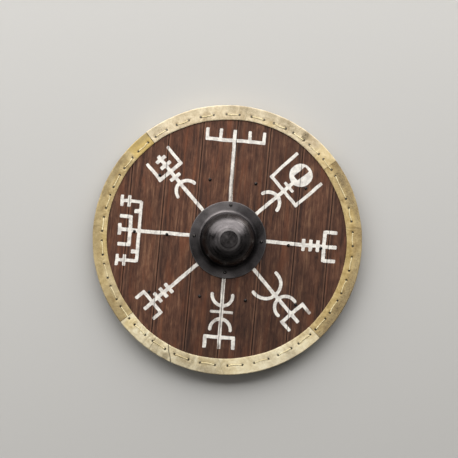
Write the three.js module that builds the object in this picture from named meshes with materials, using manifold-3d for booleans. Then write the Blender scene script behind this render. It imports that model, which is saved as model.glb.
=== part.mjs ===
// Round plank shield, lying on its back with the painted front up.
// Eight boards, a rawhide rim in four strips laced with one thong, a domed steel boss,
// a long handle batten and two cross battens, all nailed through.
// Millimetres. +Z is the front, the boards run along Y, the handle runs along X.
import * as THREE from 'three';
import { mergeVertices } from 'three/addons/utils/BufferGeometryUtils.js';
import Module from 'manifold-3d';

const wasm = await Module();
wasm.setup();

// Whole shield
const shieldDiameter = 760;
const rimFacets = 60;
const clearance = 0.3;

// Boards
const boardCount = 8;
const boardThickness = 12;
const seamChamfer = 1.6;
const handHoleDiameter = 144;

// Rawhide rim, folded over the edge of the boards
const hideThickness = 2.5;
const rimFrontWidth = 42;
const rimBackWidth = 36;
const rimChamfer = 3;
const rimSeamAngles = [48.8, 131.6, 227.6, 317.7]; // clockwise from the top, seen from the front

// Running stitch, pricked by hand
const stitchCount = 33;
const stitchLength = 35;
const stitchLengthSwing = 3; // longer stitches at the bottom, shorter ones at the top
const longStitch = 5; // the one stitch that skips a hole
const longStitchLength = 67;
const stitchInset = 26;
const stitchStartAngle = 6.55;
const stitchDriftAngles = [2.4, 1.45, 0.75, 1.15]; // the spacing closes up and opens in waves round the rim
const stitchDriftPhases = [-89, 61, -27, 41];
const laceWidth = 3.2;
const laceThickness = 2;
const laceHoleMargin = 0.6;

// Battens across the back
const battenThickness = 20;
const battenWidth = 34;
const battenOffset = 165;
const battenEndClearance = 24;
const battenTipLength = 18;
const battenTipThickness = 9;
const battenChamfer = 4;

// Handle batten
const gripLength = 112;
const gripWidth = 31;
const gripThickness = 26;
const gripChamfer = 9;
const gripFlare = 24; // length over which the grip widens into the arm
const handleWidth = 40;
const handleTipWidth = 30;
const handleTipThickness = 9;
const handleChamfer = 4;
const handleEndClearance = 24;

// Boss
const bossFlangeRadius = 108.5;
const bossHeight = 68;
const bossSheet = 2;
const bossNeckRadius = 76;
const bossNeckHeight = 4;
const bossFillet = 6;
const bevelOuterRadius = 32;
const bevelInnerRadius = 24;
const bevelRise = 3;
const bossFacets = 40;
const filletSteps = 2;
const domeSteps = 5;

// Nails and rivets
const nailHeadRadius = 4.5;
const nailHeadHeight = 2.5;
const nailCrownShare = 0.7; // the break in a domed head, as shares of its radius and height
const nailShankRadius = 1.75;
const nailDepth = 14; // how far a nail goes into a batten
const nailTipLength = 5;
const nailFacets = 6;
const battenNailInner = 65;
const battenNailEndInset = 61;
const handleNailInner = 172;
const handleNailEndInset = 56;
const bossNailRise = 3.5; // the ring of nails sits a little above the boss's centre
const peenRadius = 3.6;
const peenHeight = 2;

// How far a cutting tool runs past the faces that it cuts
const overshoot = 1;

// Heights and radii that follow from the driving dimensions
const shieldRadius = shieldDiameter / 2;
const boardWidth = shieldDiameter / boardCount;
const boardsBack = battenThickness + clearance;
const boardsFront = boardsBack + boardThickness;
const boardsRadius = shieldRadius - hideThickness - clearance;
const hideBackInside = boardsBack - clearance;
const hideBack = hideBackInside - hideThickness;
const hideFrontInside = boardsFront + clearance;
const hideFront = hideFrontInside + hideThickness;
const rimFrontRadius = shieldRadius - rimFrontWidth;
const rimBackRadius = shieldRadius - rimBackWidth;
const stitchRadius = shieldRadius - stitchInset;
const laceFront = hideFront + clearance + laceThickness / 2;
const laceBack = hideBack - clearance - laceThickness / 2;
const bossBase = boardsFront + clearance;
const bossNailRadius = (bossNeckRadius + bossFillet + bossFlangeRadius) / 2;
const nailHoleRadius = nailShankRadius + clearance;
const nailTip = battenThickness - nailDepth;
const handleHalfLength = rimBackRadius - handleEndClearance;
const battenHalfLength =
  Math.sqrt(rimBackRadius ** 2 - (battenOffset + battenWidth / 2) ** 2) - battenEndClearance;

// Materials
function finish(color, roughness, metalness = 0) {
  return new THREE.MeshStandardMaterial({ color, roughness, metalness });
}
const stainedWood = finish(0x5c4034, 0.7);
const battenWood = finish(0x6b4a36, 0.75);
const rawhide = finish(0xcdb98c, 0.65);
const lacing = finish(0xdccb92, 0.6);
const blackSteel = finish(0x2b2a2b, 0.42, 0.8);
const nailIron = finish(0x232020, 0.5, 0.8);

// A closed three.js geometry as a solid that can be joined and cut
function solid(geometry) {
  const bare = geometry.clone();
  bare.deleteAttribute('normal');
  bare.deleteAttribute('uv');
  const merged = mergeVertices(bare, 1e-4);
  const corners = merged.index.array;
  const kept = [];
  for (let i = 0; i < corners.length; i += 3) {
    const [a, b, c] = corners.slice(i, i + 3);
    if (a !== b && b !== c && c !== a) {
      kept.push(a, b, c);
    }
  }
  return new wasm.Manifold(
    new wasm.Mesh({
      numProp: 3,
      vertProperties: new Float32Array(merged.attributes.position.array),
      triVerts: new Uint32Array(kept),
    }),
  );
}

function geometryOf(body) {
  const { vertProperties, triVerts } = body.getMesh();
  const geometry = new THREE.BufferGeometry();
  geometry.setAttribute('position', new THREE.BufferAttribute(vertProperties, 3));
  geometry.setIndex(new THREE.BufferAttribute(triVerts, 1));
  geometry.computeVertexNormals();
  return geometry;
}

const shield = new THREE.Group();

function addPiece(name, body, material) {
  const piece = new THREE.Mesh(geometryOf(body), material);
  piece.name = name;
  shield.add(piece);
}

function joined(bodies) {
  return bodies.reduce((whole, body) => whole.add(body));
}

// A profile of [radius, z] pairs turned about the Z axis
function turned(profile, facets) {
  const points = profile.map(([radius, z]) => new THREE.Vector2(radius, z));
  return solid(new THREE.LatheGeometry(points, facets).rotateX(Math.PI / 2));
}

// An upright prism of round plan
function post(radius, low, high, facets, x = 0, y = 0) {
  const geometry = new THREE.CylinderGeometry(radius, radius, high - low, facets);
  geometry.rotateX(Math.PI / 2).translate(x, y, (low + high) / 2);
  return solid(geometry);
}

// An outline of [across, z] pairs drawn out to a length along Y
function drawnOut(outline, length) {
  const shape = new THREE.Shape(outline.map(([across, z]) => new THREE.Vector2(across, z)));
  const geometry = new THREE.ExtrudeGeometry(shape, { depth: length, bevelEnabled: false });
  return geometry.translate(0, 0, -length / 2).rotateX(Math.PI / 2);
}

// Rings of points skinned over, closed with a cap at each end or joined up into a loop
function loft(rings, looped) {
  const sides = rings[0].length;
  const positions = rings.flat().flatMap((point) => [point.x, point.y, point.z]);
  const faces = [];
  const spans = looped ? rings.length : rings.length - 1;
  for (let ring = 0; ring < spans; ring++) {
    const next = (ring + 1) % rings.length;
    for (let side = 0; side < sides; side++) {
      const after = (side + 1) % sides;
      const [a, b] = [ring * sides + side, ring * sides + after];
      const [c, d] = [next * sides + after, next * sides + side];
      faces.push(a, b, c, a, c, d);
    }
  }
  if (!looped) {
    const last = (rings.length - 1) * sides;
    for (let side = 1; side < sides - 1; side++) {
      faces.push(0, side + 1, side, last, last + side, last + side + 1);
    }
  }
  const geometry = new THREE.BufferGeometry();
  geometry.setAttribute('position', new THREE.Float32BufferAttribute(positions, 3));
  geometry.setIndex(faces);
  return solid(geometry);
}

// Directions in the plane of the shield at an angle clockwise from the top
function outward(degrees) {
  const angle = THREE.MathUtils.degToRad(degrees);
  return new THREE.Vector3(Math.sin(angle), Math.cos(angle), 0);
}
function clockwise(degrees) {
  return outward(degrees + 90);
}

// How far a stitch strays from even spacing, in degrees
function stitchDrift(degrees) {
  const waves = stitchDriftAngles.map((angle, index) => {
    const turn = (index + 1) * degrees - stitchDriftPhases[index];
    return angle * Math.cos(THREE.MathUtils.degToRad(turn));
  });
  return waves.reduce((sum, wave) => sum + wave, 0);
}

// Where each stitch goes down and comes up
function stitches() {
  const angleOf = (length) => THREE.MathUtils.radToDeg(length / stitchRadius);
  const extra = angleOf(longStitchLength - stitchLength);
  const pitch = (360 - extra) / stitchCount;
  const list = [];
  for (let index = 0; index < stitchCount; index++) {
    const long = index === longStitch;
    const passed = long ? extra / 2 : extra * Number(index > longStitch);
    const even = pitch * index + passed;
    const centre = even + stitchStartAngle + stitchDrift(even);
    const swing = stitchLengthSwing * Math.cos(THREE.MathUtils.degToRad(centre));
    const half = angleOf(long ? longStitchLength : stitchLength - swing) / 2;
    list.push({ up: centre - half, down: centre + half });
  }
  return list;
}

function laceHoles() {
  const depth = hideFront - hideBack + 2 * overshoot;
  const holes = stitches().flatMap(({ up, down }) =>
    [up, down].map((degrees) => {
      const width = laceWidth + 2 * laceHoleMargin;
      const hole = new THREE.BoxGeometry(laceThickness + 2 * laceHoleMargin, width, depth);
      hole.rotateZ(-THREE.MathUtils.degToRad(degrees));
      const place = outward(degrees).multiplyScalar(stitchRadius);
      return solid(hole.translate(place.x, place.y, (hideFront + hideBack) / 2));
    }),
  );
  return joined(holes);
}

// The lace is a flat thong: each corner is a mitred ring across it
function lace() {
  const rings = stitches().flatMap(({ up, down }) => {
    const corner = (degrees, z, lean) => {
      const centre = outward(degrees).multiplyScalar(stitchRadius).setZ(z);
      const side = outward(degrees).multiplyScalar(laceWidth / 2);
      const face = clockwise(degrees).multiplyScalar((lean * laceThickness) / 2);
      face.z = laceThickness / 2;
      return [
        centre.clone().sub(side).add(face),
        centre.clone().sub(side).sub(face),
        centre.clone().add(side).sub(face),
        centre.clone().add(side).add(face),
      ];
    };
    return [
      corner(up, laceBack, -1),
      corner(up, laceFront, -1),
      corner(down, laceFront, 1),
      corner(down, laceBack, 1),
    ];
  });
  return loft(rings, true);
}

// Sector of the plan between two seams, with half the gap taken off each side
function sector(from, to) {
  const reach = shieldDiameter;
  const middle = (from + to) / 2;
  const shape = new THREE.Shape();
  shape.moveTo(0, 0);
  for (const degrees of [from, middle, to]) {
    const point = outward(degrees).multiplyScalar(reach);
    shape.lineTo(point.x, point.y);
  }
  const whole = new THREE.ExtrudeGeometry(shape, { depth: hideFront, bevelEnabled: false });
  return [from, to].reduce((part, degrees) => {
    const saw = new THREE.BoxGeometry(clearance, reach, 2 * (hideFront + overshoot));
    saw.translate(0, reach / 2, 0).rotateZ(-THREE.MathUtils.degToRad(degrees));
    return part.subtract(solid(saw));
  }, solid(whole));
}

function rimRing() {
  return turned(
    [
      [rimBackRadius, hideBack],
      [shieldRadius - rimChamfer, hideBack],
      [shieldRadius, hideBack + rimChamfer],
      [shieldRadius, hideFront - rimChamfer],
      [shieldRadius - rimChamfer, hideFront],
      [rimFrontRadius, hideFront],
      [rimFrontRadius, hideFrontInside],
      [shieldRadius - hideThickness, hideFrontInside],
      [shieldRadius - hideThickness, hideBackInside],
      [rimBackRadius, hideBackInside],
      [rimBackRadius, hideBack],
    ],
    rimFacets,
  );
}

function addRim() {
  const ring = rimRing().subtract(laceHoles());
  rimSeamAngles.forEach((from, index) => {
    const next = rimSeamAngles[(index + 1) % rimSeamAngles.length];
    const to = next > from ? next : next + 360;
    addPiece(`rim_hide_${index + 1}`, ring.intersect(sector(from, to)), rawhide);
  });
}

// Nail places as [x, y]
function mirrored(inner, outer, y) {
  return [-outer, -inner, inner, outer].map((x) => [x, y]);
}
const battenNailOuter = battenHalfLength - battenNailEndInset;
const handleNailOuter = handleHalfLength - handleNailEndInset;
const upperNails = mirrored(battenNailInner, battenNailOuter, battenOffset);
const lowerNails = mirrored(battenNailInner, battenNailOuter, -battenOffset);
const handleNails = mirrored(handleNailInner, handleNailOuter, 0);
const bossNails = [[-bossNailRadius, bossNailRise], [bossNailRadius, bossNailRise]];
const bossRivets = [[0, bossNailRise + bossNailRadius], [0, bossNailRise - bossNailRadius]];

function holes(places, low, high) {
  return joined(places.map(([x, y]) => post(nailHoleRadius, low, high, nailFacets, x, y)));
}

// Blind holes from the top of a batten, a little deeper than the nails
function blindHoles(places) {
  return holes(places, nailTip - clearance, battenThickness + overshoot);
}

function addBoards() {
  const through = holes(
    [...upperNails, ...lowerNails, ...handleNails, ...bossNails, ...bossRivets],
    boardsBack - overshoot,
    boardsFront + overshoot,
  );
  const handHole = post(
    handHoleDiameter / 2,
    boardsBack - overshoot,
    boardsFront + overshoot,
    rimFacets,
  );
  const panel = post(boardsRadius, boardsBack, boardsFront, rimFacets)
    .subtract(handHole)
    .subtract(laceHoles())
    .subtract(through);
  for (let index = 0; index < boardCount; index++) {
    const left = -shieldRadius + index * boardWidth + clearance / 2;
    const right = left + boardWidth - clearance;
    const blank = drawnOut(
      [
        [left, boardsBack],
        [right, boardsBack],
        [right, boardsFront - seamChamfer],
        [right - seamChamfer, boardsFront],
        [left + seamChamfer, boardsFront],
        [left, boardsFront - seamChamfer],
      ],
      shieldDiameter,
    );
    addPiece(`board_${index + 1}`, panel.intersect(solid(blank)), stainedWood);
  }
}

// Boss
function bossProfile() {
  const domeBase = bossSheet + bossFillet + bossNeckHeight;
  const filletCentre = bossNeckRadius + bossFillet;
  const outerShare = Math.sqrt(1 - (bevelOuterRadius / bossNeckRadius) ** 2);
  const domeHeight = (bossHeight - bevelRise - domeBase) / outerShare;

  // Points up one face of the sheet, set in from the outer face by an offset
  const face = (offset) => {
    const points = [];
    for (let step = 0; step <= filletSteps; step++) {
      const angle = (Math.PI / 2) * (step / filletSteps);
      const radius = bossFillet + offset;
      points.push([
        filletCentre - radius * Math.sin(angle),
        bossSheet + bossFillet - radius * Math.cos(angle),
      ]);
    }
    const [across, up] = [bossNeckRadius - offset, domeHeight - offset];
    const edge = bevelOuterRadius - offset / 2;
    const last = Math.acos(edge / across);
    for (let step = 0; step <= domeSteps; step++) {
      const angle = last * (step / domeSteps);
      points.push([across * Math.cos(angle), domeBase + up * Math.sin(angle)]);
    }
    points.push([bevelInnerRadius - offset / 2, bossHeight - offset], [0, bossHeight - offset]);
    return points;
  };
  const inner = face(bossSheet).reverse();
  return [...inner, [bossFlangeRadius, 0], [bossFlangeRadius, bossSheet], ...face(0)];
}

function addBoss() {
  const profile = bossProfile().map(([radius, z]) => [radius, bossBase + z]);
  const shell = turned(profile, bossFacets);
  const drilled = holes(
    [...bossNails, ...bossRivets],
    bossBase - overshoot,
    bossBase + bossSheet + overshoot,
  );
  addPiece('boss', shell.subtract(drilled), blackSteel);
}

// Handle batten: an eight-sided bar, thick and rounded at the grip, flat on the arms
function handleRing(x, width, low, high, chamfer) {
  const [near, far] = [-width / 2, width / 2];
  return [
    [near + chamfer, low], [far - chamfer, low], [far, low + chamfer], [far, high - chamfer],
    [far - chamfer, high], [near + chamfer, high], [near, high - chamfer], [near, low + chamfer],
  ].map(([y, z]) => new THREE.Vector3(x, y, z));
}

function addHandle() {
  const gripEnd = gripLength / 2;
  const armStart = gripEnd + gripFlare;
  const flareMiddle = (gripEnd + armStart) / 2;
  const middleWidth = (gripWidth + handleWidth) / 2;
  const middleChamfer = (gripChamfer + handleChamfer) / 2;
  const tip = handleHalfLength - battenTipLength;
  const tipLow = battenThickness - handleTipThickness;
  const half = [
    [gripEnd, gripWidth, 0, gripThickness, gripChamfer],
    [flareMiddle, middleWidth, 0, battenThickness, middleChamfer],
    [armStart, handleWidth, 0, battenThickness, handleChamfer],
    [tip, handleTipWidth, 0, battenThickness, handleChamfer],
    [handleHalfLength, handleTipWidth - 2 * handleChamfer, tipLow, battenThickness, handleChamfer],
  ];
  const left = half.map(([x, ...rest]) => handleRing(-x, ...rest)).reverse();
  const right = half.map(([x, ...rest]) => handleRing(x, ...rest));
  const bar = loft([...left, ...right], false);
  addPiece('handle', bar.subtract(blindHoles([...handleNails, ...bossNails])), battenWood);
}

function batten(y) {
  const tip = battenHalfLength - battenTipLength;
  const tipLow = battenThickness - battenTipThickness;
  const side = drawnOut(
    [
      [-tip, 0], [tip, 0], [battenHalfLength, tipLow],
      [battenHalfLength, battenThickness], [-battenHalfLength, battenThickness],
      [-battenHalfLength, tipLow],
    ],
    battenWidth,
  );
  const edge = battenWidth / 2;
  const section = drawnOut(
    [
      [-edge + battenChamfer, 0], [edge - battenChamfer, 0], [edge, battenChamfer],
      [edge, battenThickness], [-edge, battenThickness], [-edge, battenChamfer],
    ],
    2 * battenHalfLength,
  );
  return solid(side).intersect(solid(section.rotateZ(Math.PI / 2))).translate([0, y, 0]);
}

function addBattens() {
  addPiece('batten_upper', batten(battenOffset).subtract(blindHoles(upperNails)), battenWood);
  addPiece('batten_lower', batten(-battenOffset).subtract(blindHoles(lowerNails)), battenWood);
}

// Nails
function nailHead(seat) {
  return [
    [nailShankRadius, seat],
    [nailHeadRadius, seat],
    [nailHeadRadius * nailCrownShare, seat + nailHeadHeight * nailCrownShare],
    [0, seat + nailHeadHeight],
  ];
}

function addNails(name, places, seat) {
  const profile = [[0, nailTip], [nailShankRadius, nailTip + nailTipLength], ...nailHead(seat)];
  places.forEach(([x, y], index) => {
    const label = places.length > 2 ? index + 1 : ['left', 'right'][index];
    addPiece(`${name}_${label}`, turned(profile, nailFacets).translate([x, y, 0]), nailIron);
  });
}

function addRivets(places, seat) {
  const peenSeat = boardsBack - clearance;
  const profile = [
    [0, peenSeat - peenHeight],
    [peenRadius * nailCrownShare, peenSeat - peenHeight * nailCrownShare],
    [peenRadius, peenSeat],
    [nailShankRadius, peenSeat],
    ...nailHead(seat),
  ];
  places.forEach(([x, y], index) => {
    const name = `boss_rivet_${['top', 'bottom'][index]}`;
    addPiece(name, turned(profile, nailFacets).translate([x, y, 0]), nailIron);
  });
}

addBoards();
addRim();
addPiece('lace', lace(), lacing);
addBoss();
addHandle();
addBattens();
const boardSeat = boardsFront + clearance;
const flangeSeat = bossBase + bossSheet + clearance;
addNails('batten_nail_upper', upperNails, boardSeat);
addNails('batten_nail_lower', lowerNails, boardSeat);
addNails('handle_nail', handleNails, boardSeat);
addNails('boss_nail', bossNails, flangeSeat);
addRivets(bossRivets, flangeSeat);

export default shield;
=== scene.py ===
"""A round plank shield lying on its back: the finish of every piece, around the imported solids.

Lengths are in metres, and +Z is the painted front. The boards run along Y and the handle along X.
Angles round the shield are in degrees, clockwise from the top of the painted stave.
"""

import math

import bpy
import numpy as np
from mathutils import Matrix, Vector


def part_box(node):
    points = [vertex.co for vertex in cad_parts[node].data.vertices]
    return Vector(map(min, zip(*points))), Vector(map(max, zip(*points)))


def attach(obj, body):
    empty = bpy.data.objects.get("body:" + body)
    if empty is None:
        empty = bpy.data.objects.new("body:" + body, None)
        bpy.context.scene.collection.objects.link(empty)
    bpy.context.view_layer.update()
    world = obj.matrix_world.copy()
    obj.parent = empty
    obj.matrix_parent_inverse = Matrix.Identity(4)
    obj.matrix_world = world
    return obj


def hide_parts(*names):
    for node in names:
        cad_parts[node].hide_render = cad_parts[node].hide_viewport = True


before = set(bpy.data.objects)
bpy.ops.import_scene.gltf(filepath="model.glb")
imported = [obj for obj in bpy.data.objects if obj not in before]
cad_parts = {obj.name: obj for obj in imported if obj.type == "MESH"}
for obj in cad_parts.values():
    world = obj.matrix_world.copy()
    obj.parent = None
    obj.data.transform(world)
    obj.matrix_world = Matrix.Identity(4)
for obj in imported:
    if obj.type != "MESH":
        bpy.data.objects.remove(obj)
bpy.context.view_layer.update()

MM = 0.001
RNG = np.random.default_rng(34)


# Where the solids are


def box_of(nodes):
    """Lowest and highest corner of several nodes together."""
    boxes = [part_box(node) for node in nodes]
    low = Vector([min(box[0][axis] for box in boxes) for axis in range(3)])
    high = Vector([max(box[1][axis] for box in boxes) for axis in range(3)])
    return low, high


BOARDS = [f"board_{number}" for number in range(1, 9)]
HIDES = [f"rim_hide_{number}" for number in range(1, 5)]
boards_low, boards_high = box_of(BOARDS)
hides_low, hides_high = box_of(HIDES)
boss_low, boss_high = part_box("boss")

WOOD_BACK, WOOD_FRONT = boards_low.z, boards_high.z
WOOD_RADIUS = boards_high.x
HIDE_BACK, HIDE_FRONT = hides_low.z, hides_high.z
SHIELD_RADIUS = hides_high.x
HIDE_THICKNESS = 2.5 * MM
RIM_BACK_WIDTH = 36 * MM
HAND_HOLE_RADIUS = 72 * MM
SEAM_ANGLES = (48.8, 131.6, 227.6, 317.7)

# The running stitch, as it was pricked by hand
STITCH_COUNT = 33
STITCH_LENGTH = 35 * MM
STITCH_LENGTH_SWING = 3 * MM
LONG_STITCH = 5
LONG_STITCH_LENGTH = 67 * MM
STITCH_RADIUS = SHIELD_RADIUS - 26 * MM
STITCH_START = 6.55
STITCH_DRIFTS = ((2.4, -89), (1.45, 61), (0.75, -27), (1.15, 41))
LACE_WIDTH, LACE_THICKNESS = 3.1 * MM, 1.4 * MM
LACE_HOLE, NAIL_HOLE = (2.5 * MM, 2.8 * MM), (2.05 * MM, 2.05 * MM)
FRONT_SLACK = RNG.uniform(0.2, 2.4, STITCH_COUNT) * MM
FRONT_HUMP = RNG.uniform(0.0, 0.3, STITCH_COUNT) * MM
BACK_SLACK = 0.5 * MM
HOLE_REACH = 2.0 * MM


# Numbers


def srgb(red, green, blue):
    """A screen colour of 0 to 255 as the linear colour that a shader takes."""

    def linear(level):
        share = level / 255
        return share / 12.92 if share <= 0.04045 else ((share + 0.055) / 1.055) ** 2.4

    return (linear(red), linear(green), linear(blue), 1.0)


def smooth_step(low, high, values):
    share = np.clip((values - low) / (high - low), 0, 1)
    return share * share * (3 - 2 * share)


def bell(off, width=1.0):
    """1 in the middle, falling away on both sides to 0.37 at the width."""
    return np.exp(-((off / width) ** 2))


def squared(wave, power):
    """A sine or cosine, bent towards a square wave by a power below 1."""
    return np.sign(wave) * np.abs(wave) ** power


def off_angle(degrees, middle):
    """How far round from a middle, from -180 to 180 degrees."""
    return (degrees - middle + 180) % 360 - 180


def lattice(cells, seed):
    """One fixed number from -1 to 1 for each whole-numbered cell."""
    mixed = cells[:, 0] * 73856093 ^ cells[:, 1] * 19349663 ^ cells[:, 2] * 83492791
    mixed = (mixed ^ (seed * 668265263)) & 0xFFFFFFFF
    mixed = ((mixed ^ (mixed >> 15)) * 2246822519) & 0xFFFFFFFF
    mixed = ((mixed ^ (mixed >> 13)) * 3266489917) & 0xFFFFFFFF
    return ((mixed ^ (mixed >> 16)) & 0xFFFFFF) / 0x7FFFFF - 1


def noise(points, cell, seed, octaves=1):
    """Smooth noise from about -1 to 1.

    cell is its size in metres, one number or one for each axis, and seed picks one of its patterns.
    """
    total, weight = np.zeros(len(points)), 1.0
    scaled = points / np.asarray(cell, float)
    for octave in range(octaves):
        base = np.floor(scaled).astype(np.int64)
        ease = scaled - base
        ease = ease * ease * (3 - 2 * ease)
        layer = np.zeros(len(points))
        for corner in np.ndindex(2, 2, 2):
            share = np.prod(np.where(corner, ease, 1 - ease), axis=1)
            layer += share * lattice(base + corner, seed + octave)
        total += weight * layer
        weight /= 2
        scaled = scaled * 2.03
    return total


def outward(degrees):
    """Unit vectors in the shield's plane, away from its centre, one row for each angle."""
    angle = np.radians(np.atleast_1d(degrees))
    return np.stack([np.sin(angle), np.cos(angle), np.zeros_like(angle)], axis=1)


def polar(points):
    """Each point's angle round the shield, from -180 to 180 degrees, and its distance from the axis."""
    x, y = points[:, 0], points[:, 1]
    return np.degrees(np.arctan2(x, y)), np.hypot(x, y)


# Meshes


def ring_faces(rings, sides, looped=False):
    """Quads over rings of points, each ring closed on itself."""
    ring = np.arange(rings if looped else rings - 1)[:, None]
    side = np.arange(sides)[None, :]
    after = (side + 1) % sides
    next_ring = (ring + 1) % rings
    corners = ((ring, side), (ring, after), (next_ring, after), (next_ring, side))
    return np.stack([(at * sides + turn).ravel() for at, turn in corners], axis=1)


def folded_caps(rings, sides):
    """Quads across both ends of rings whose second half runs back under the first."""
    half = sides // 2
    near = np.arange(half - 1)
    quads = np.stack([near, near + 1, sides - 2 - near, sides - 1 - near], axis=1)
    return np.concatenate([quads[:, ::-1], quads + (rings - 1) * sides])


def welded(points, faces):
    """The same mesh with points that coincide made one, and faces that collapsed dropped."""
    _, first, inverse = np.unique(
        np.round(points / 1e-7).astype(np.int64), axis=0, return_index=True, return_inverse=True
    )
    faces = [list(dict.fromkeys(face)) for face in inverse.reshape(-1)[np.asarray(faces)].tolist()]
    return points[first], [face for face in faces if len(face) > 2]


def volume_of(points, faces):
    """Volume inside the faces of three and four corners, below 0 where they look inwards."""
    total = 0.0
    for size in (3, 4):
        sized = np.array([face for face in faces if len(face) == size], dtype=int).reshape(-1, size)
        for corner in range(1, size - 1):
            a, b, c = points[sized[:, 0]], points[sized[:, corner]], points[sized[:, corner + 1]]
            total += np.einsum("ij,ij->i", a, np.cross(b, c)).sum() / 6
    return total


def new_object(name, data):
    made = bpy.data.objects.new(name, data)
    bpy.context.scene.collection.objects.link(made)
    return made


def make_object(name, points, faces):
    """A closed mesh whose faces look outwards."""
    faces = [list(face) for face in faces]
    if volume_of(points, faces) < 0:
        faces = [face[::-1] for face in faces]
    mesh = bpy.data.meshes.new(name)
    mesh.from_pydata(points.tolist(), [], faces)
    mesh.validate()
    return new_object(name, mesh)


def points_of(piece):
    flat = np.empty(len(piece.data.vertices) * 3)
    piece.data.vertices.foreach_get("co", flat)
    return flat.reshape(-1, 3)


def set_attributes(piece, **layers):
    """Gives every point one number for each layer, which the materials read by the layer's name."""
    for name, values in layers.items():
        attribute = piece.data.attributes.new(name, "FLOAT", "POINT")
        attribute.data.foreach_set("value", np.asarray(values, np.float32))


def finish_piece(piece, nodes, material, crease=35):
    """Shades a piece, gives it its material, and puts it in the place of its CAD nodes."""
    mesh = piece.data
    mesh.shade_smooth()
    mesh.set_sharp_from_angle(angle=math.radians(crease))
    mesh.materials.clear()
    mesh.materials.append(material)
    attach(piece, "root")
    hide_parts(*nodes)


def posts(places, low, high, sides):
    """Upright posts as one mesh. Each place is (x, y, radius across, radius along, turn in degrees)."""
    corner = np.arange(sides)
    angle = corner * 2 * math.pi / sides
    rings = []
    for x, y, across, along, turn in places:
        cos, sin = math.cos(math.radians(-turn)), math.sin(math.radians(-turn))
        local_x, local_y = across * np.cos(angle), along * np.sin(angle)
        ring_x = x + local_x * cos - local_y * sin
        ring_y = y + local_x * sin + local_y * cos
        rings += [np.stack([ring_x, ring_y, np.full(sides, z)], axis=1) for z in (low, high)]
    after = (corner + 1) % sides
    walls = np.stack([sides + after, sides + corner, corner, after], axis=1).tolist()
    post = walls + [corner[::-1].tolist(), (sides + corner).tolist()]
    starts = range(0, 2 * sides * len(places), 2 * sides)
    faces = [[start + point for point in face] for start in starts for face in post]
    mesh = bpy.data.meshes.new("drill")
    mesh.from_pydata(np.concatenate(rings).tolist(), [], faces)
    return new_object("drill", mesh)


def drilled(piece, drill):
    """Cuts the drill's posts out of a piece."""
    cut = piece.modifiers.new("holes", "BOOLEAN")
    cut.object = drill
    cut.operation = "DIFFERENCE"
    cut.solver = "EXACT"
    result = bpy.data.meshes.new_from_object(piece.evaluated_get(bpy.context.evaluated_depsgraph_get()))
    piece.modifiers.clear()
    old, piece.data = piece.data, result
    bpy.data.meshes.remove(old)
    return piece


# Materials


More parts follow.
